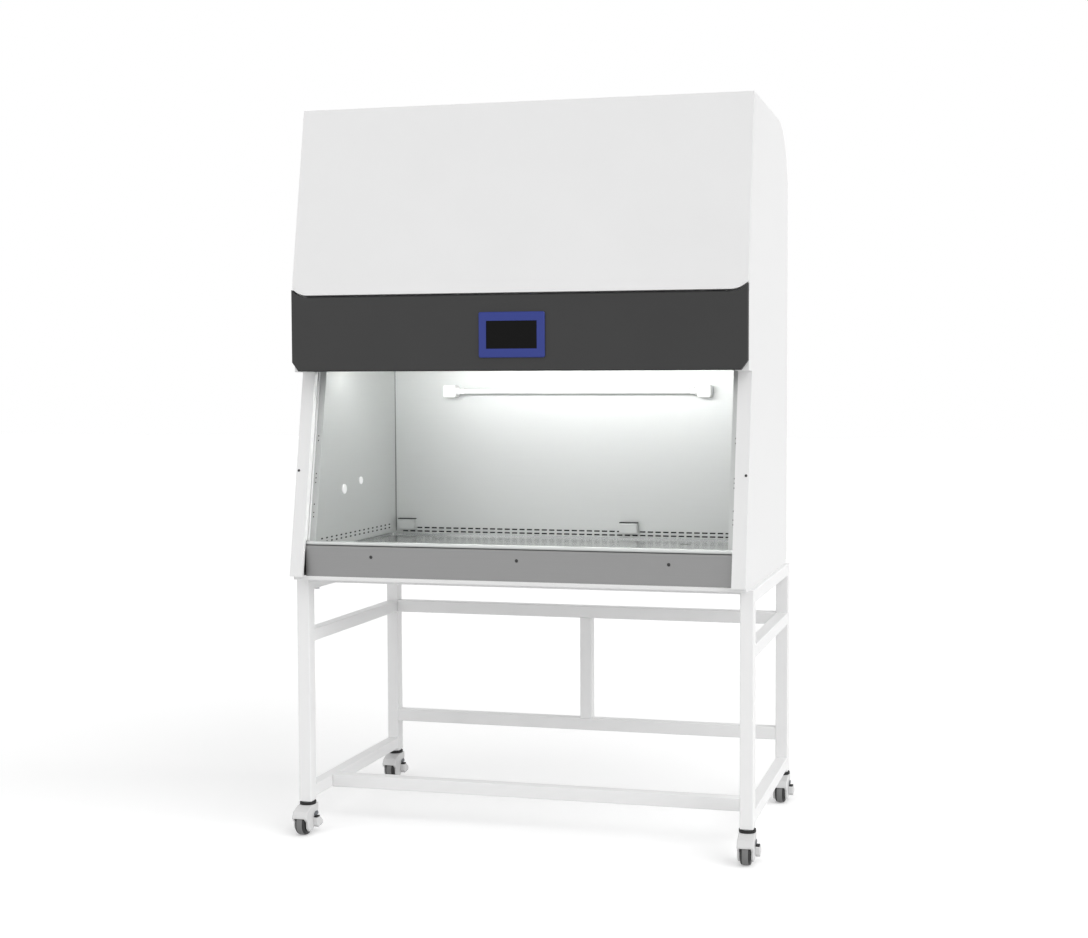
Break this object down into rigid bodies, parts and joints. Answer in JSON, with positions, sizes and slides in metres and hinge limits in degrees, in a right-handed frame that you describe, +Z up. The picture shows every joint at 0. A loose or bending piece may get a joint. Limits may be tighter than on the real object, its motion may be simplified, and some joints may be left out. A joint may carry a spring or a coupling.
{
  "type": "biosafety cabinet",
  "caption": "Floor-standing biosafety cabinet: leaning front with a sliding sash, dark control band and steel chamber, on a castored tube stand.",
  "frame": {"origin": "on the floor, under the middle of the bounding box", "axes": "+X to the right, +Y to the back, +Z up; the user stands on the -Y side"},
  "size_m": [1.4322, 0.82, 2.207],
  "materials": {
    "powder_coat_white": "satin powder coat",
    "stand_powder_coat": "satin powder coat",
    "band_charcoal": "satin powder coat",
    "panel_grey": "brushed",
    "stainless": "brushed",
    "laminated_glass": "clear",
    "bezel_blue": "semi-gloss moulding",
    "screen_black": "gloss",
    "caster_hood": "moulded",
    "caster_tread": "matt",
    "seal_black": "moulded",
    "zinc_steel": "zinc plated",
    "galvanised_sheet": "galvanised",
    "motor_aluminium": "cast",
    "filter_pack": "glass-fibre paper in a frame",
    "lamp_white": "moulded",
    "quartz_tube": "clear tube"
  },
  "bodies": {
    "cabinet": {"base_plate": "powder_coat_white", "blower_housing": "galvanised_sheet", "blower_motor": "motor_aluminium", "caster_seal_rings": "seal_black", "caster_stems": "zinc_steel", "control_band": "band_charcoal", "cover_hinge_rod": "zinc_steel", "display_bezel": "bezel_blue", "display_screen": "screen_black", "exhaust_filter": "filter_pack", "exhaust_grille": "galvanised_sheet", "front_grille": "stainless", "inner_rear_wall": "stainless", "inner_side_wall_left": "stainless", "inner_side_wall_right": "stainless", "lower_front_panel": "panel_grey", "outer_side_panel_left": "powder_coat_white", "outer_side_panel_right": "powder_coat_white", "panel_screws": "zinc_steel", "power_inlet": "seal_black", "pressure_plenum": "galvanised_sheet", "rear_panel": "powder_coat_white", "sash_guides": "powder_coat_white", "sash_motor": "motor_aluminium", "service_port_plugs": "lamp_white", "shaft_bearings": "zinc_steel", "socket_boxes": "stainless", "stand_bolts": "zinc_steel", "stand_center_strut": "stand_powder_coat", "stand_foot_rail": "stand_powder_coat", "stand_rear_rail_lower": "stand_powder_coat", "stand_rear_rail_upper": "stand_powder_coat", "stand_side_frame_left": "stand_powder_coat", "stand_side_frame_right": "stand_powder_coat", "stand_top_rails": "stand_powder_coat", "supply_filter": "filter_pack", "top_panel": "powder_coat_white", "uv_lamp": "quartz_tube", "uv_lamp_holders": "lamp_white", "work_lamp": "lamp_white"},
    "front_cover": {"front_cover": "powder_coat_white"},
    "sash": {"sash_glass": "laminated_glass", "sash_handle": "stainless"},
    "sash_shaft": {"sash_drive_shaft": "zinc_steel"},
    "impeller": {"blower_impeller": "galvanised_sheet"},
    "work_tray": {"work_surface": "stainless"},
    "flap_left": {"socket_flap_left": "stainless"},
    "flap_right": {"socket_flap_right": "stainless"},
    "caster_swivel_front_left": {"caster_fork_front_left": "caster_hood"},
    "caster_roller_front_left": {"caster_wheel_front_left": "caster_tread"},
    "caster_brake_front_left": {"caster_pedal_front_left": "caster_hood"},
    "caster_swivel_front_right": {"caster_fork_front_right": "caster_hood"},
    "caster_roller_front_right": {"caster_wheel_front_right": "caster_tread"},
    "caster_brake_front_right": {"caster_pedal_front_right": "caster_hood"},
    "caster_swivel_rear_left": {"caster_fork_rear_left": "caster_hood"},
    "caster_roller_rear_left": {"caster_wheel_rear_left": "caster_tread"},
    "caster_brake_rear_left": {"caster_pedal_rear_left": "caster_hood"},
    "caster_swivel_rear_right": {"caster_fork_rear_right": "caster_hood"},
    "caster_roller_rear_right": {"caster_wheel_rear_right": "caster_tread"},
    "caster_brake_rear_right": {"caster_pedal_rear_right": "caster_hood"}
  },
  "joints": [
    {"name": "cover_hinge", "type": "hinge", "parent": "cabinet", "child": "front_cover", "pos_m": [0, -0.252, 2.201], "axis": [-1, 0, 0], "range_deg": [0, 75]},
    {"name": "sash_slide", "type": "slide", "parent": "cabinet", "child": "sash", "axis": [0, -0.1736, -0.9848], "range_m": [0, 0.5]},
    {"name": "sash_shaft_turn", "type": "hinge", "parent": "cabinet", "child": "sash_shaft", "pos_m": [0, -0.14648, 2.00654], "axis": [1, 0, 0], "range_deg": [0, 1150]},
    {"name": "impeller_spin", "type": "hinge", "parent": "cabinet", "child": "impeller", "pos_m": [0, 0.09, 1.84], "axis": [1, 0, 0], "continuous": true},
    {"name": "work_tray_lift", "type": "slide", "parent": "cabinet", "child": "work_tray", "axis": [0, 0, 1], "range_m": [0, 0.06]},
    {"name": "flap_left_hinge", "type": "hinge", "parent": "cabinet", "child": "flap_left", "pos_m": [-0.588, 0.26, 0.9175], "axis": [-1, 0, 0], "range_deg": [0, 110]},
    {"name": "flap_right_hinge", "type": "hinge", "parent": "cabinet", "child": "flap_right", "pos_m": [0.189, 0.26, 0.9175], "axis": [-1, 0, 0], "range_deg": [0, 110]},
    {"name": "swivel_front_left", "type": "hinge", "parent": "cabinet", "child": "caster_swivel_front_left", "pos_m": [-0.684, -0.317, 0.08], "axis": [0, 0, 1], "continuous": true},
    {"name": "roll_front_left", "type": "hinge", "parent": "caster_swivel_front_left", "child": "caster_roller_front_left", "pos_m": [-0.684, -0.345, 0.0375], "axis": [1, 0, 0], "continuous": true},
    {"name": "brake_front_left", "type": "hinge", "parent": "caster_swivel_front_left", "child": "caster_brake_front_left", "pos_m": [-0.684, -0.321, 0.04], "axis": [-1, 0, 0], "range_deg": [0, 15]},
    {"name": "swivel_front_right", "type": "hinge", "parent": "cabinet", "child": "caster_swivel_front_right", "pos_m": [0.684, -0.317, 0.08], "axis": [0, 0, 1], "continuous": true},
    {"name": "roll_front_right", "type": "hinge", "parent": "caster_swivel_front_right", "child": "caster_roller_front_right", "pos_m": [0.68546, -0.34496, 0.0375], "axis": [0.9986, 0.0523, 0], "continuous": true},
    {"name": "brake_front_right", "type": "hinge", "parent": "caster_swivel_front_right", "child": "caster_brake_front_right", "pos_m": [0.68421, -0.32099, 0.04], "axis": [-0.9986, -0.0523, 0], "range_deg": [0, 15]},
    {"name": "swivel_rear_left", "type": "hinge", "parent": "cabinet", "child": "caster_swivel_rear_left", "pos_m": [-0.684, 0.38, 0.08], "axis": [0, 0, 1], "continuous": true},
    {"name": "roll_rear_left", "type": "hinge", "parent": "caster_swivel_rear_left", "child": "caster_roller_rear_left", "pos_m": [-0.684, 0.352, 0.0375], "axis": [1, 0, 0], "continuous": true},
    {"name": "brake_rear_left", "type": "hinge", "parent": "caster_swivel_rear_left", "child": "caster_brake_rear_left", "pos_m": [-0.684, 0.376, 0.04], "axis": [-1, 0, 0], "range_deg": [0, 15]},
    {"name": "swivel_rear_right", "type": "hinge", "parent": "cabinet", "child": "caster_swivel_rear_right", "pos_m": [0.684, 0.38, 0.08], "axis": [0, 0, 1], "continuous": true},
    {"name": "roll_rear_right", "type": "hinge", "parent": "caster_swivel_rear_right", "child": "caster_roller_rear_right", "pos_m": [0.684, 0.352, 0.0375], "axis": [1, 0, 0], "continuous": true},
    {"name": "brake_rear_right", "type": "hinge", "parent": "caster_swivel_rear_right", "child": "caster_brake_rear_right", "pos_m": [0.684, 0.376, 0.04], "axis": [-1, 0, 0], "range_deg": [0, 15]}
  ],
  "couplings": [
    {"joint": "sash_shaft_turn", "follows": "sash_slide", "rad_per_m": 40}
  ]
}
